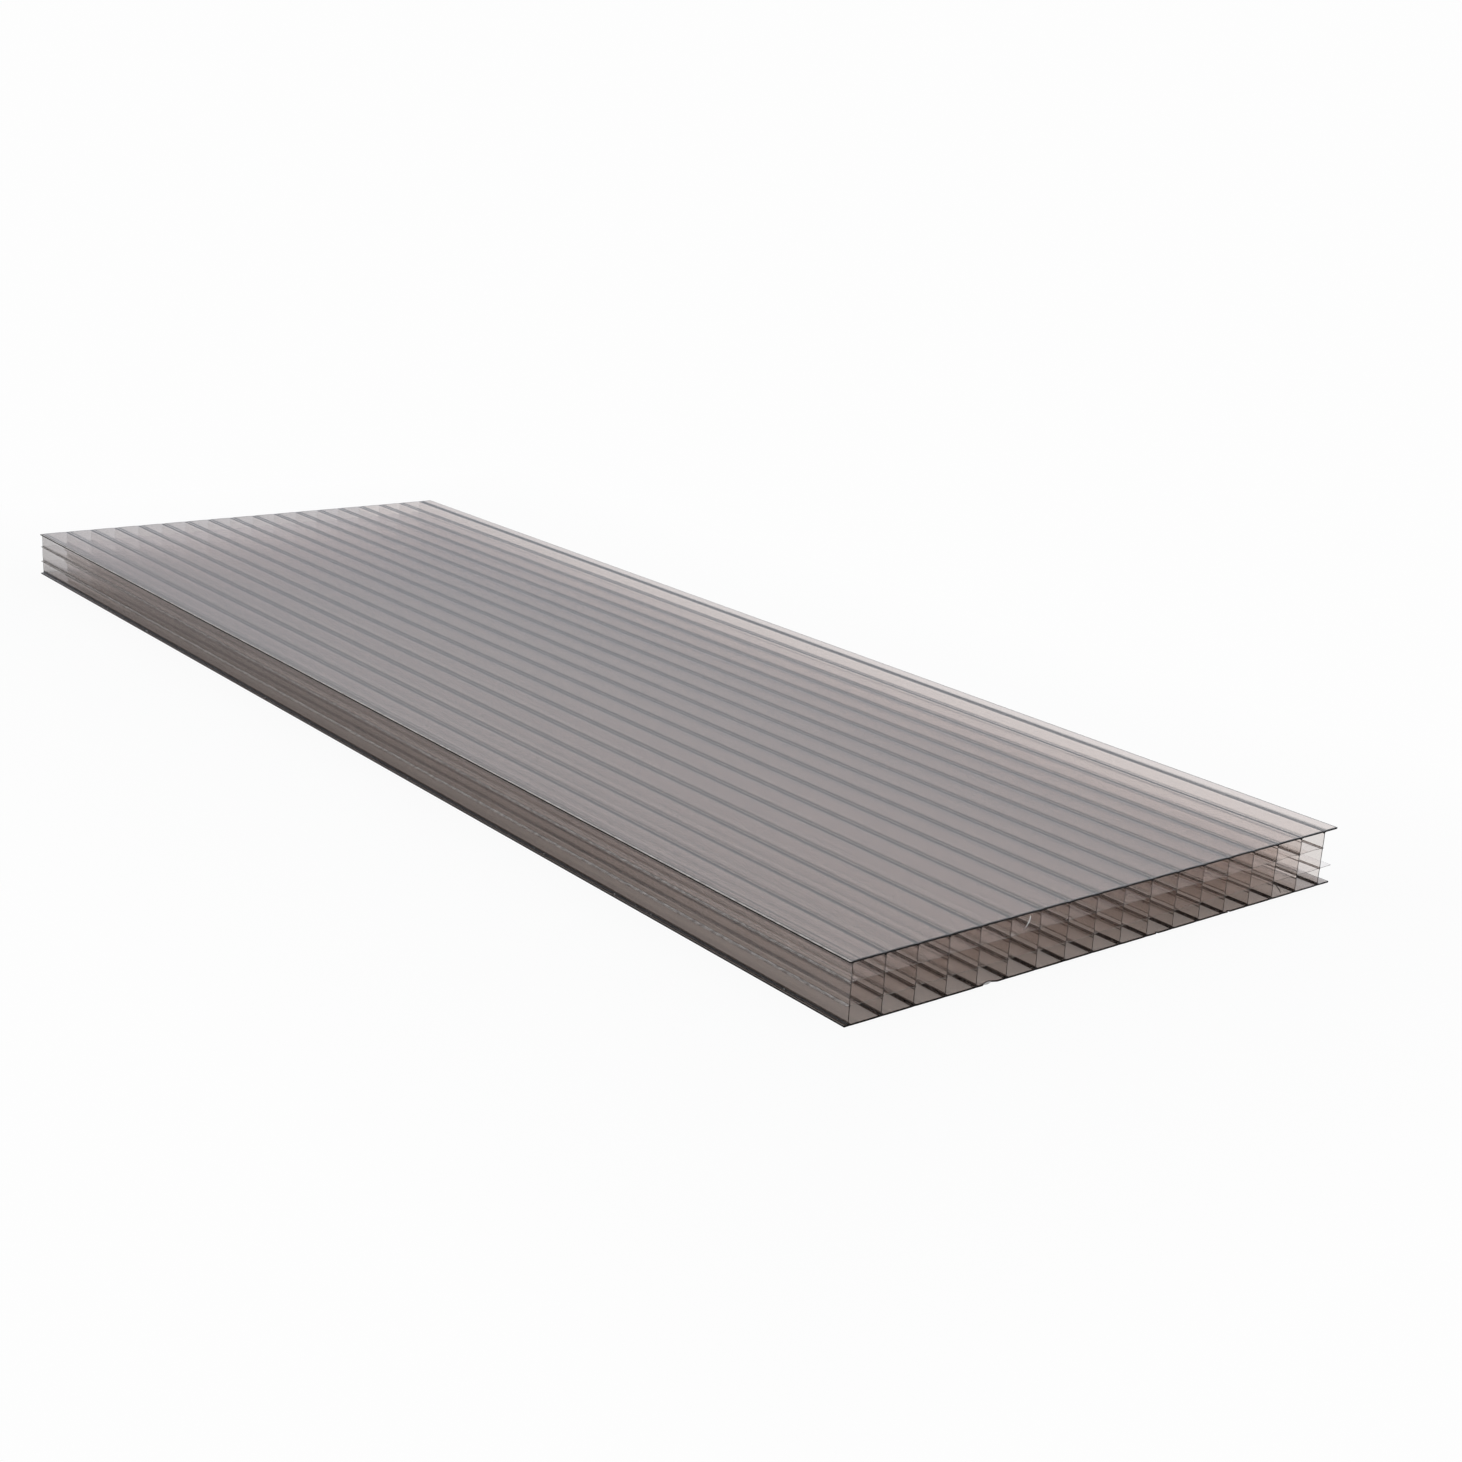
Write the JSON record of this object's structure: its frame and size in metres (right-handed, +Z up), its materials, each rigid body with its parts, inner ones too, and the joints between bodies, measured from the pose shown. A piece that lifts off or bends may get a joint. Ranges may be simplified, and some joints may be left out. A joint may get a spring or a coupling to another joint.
{
  "type": "multiwall polycarbonate sheet",
  "caption": "Flat extruded glazing sheet of tinted plastic, with skins, inner walls and upright webs that form three layers of open-ended cells.",
  "frame": {"origin": "centre of the sheet's box, on the face of the bottom skin", "axes": "+Y along the webs and cells, from the near sawn end to the far one; +X across the webs; +Z up through the thickness"},
  "size_m": [0.2764, 0.762, 0.025],
  "materials": {
    "tinted_polycarbonate": "clear bronze tint, glossy, with sawn edges"
  },
  "bodies": {
    "root": {"multiwall_sheet": "tinted_polycarbonate"}
  },
  "joints": []
}
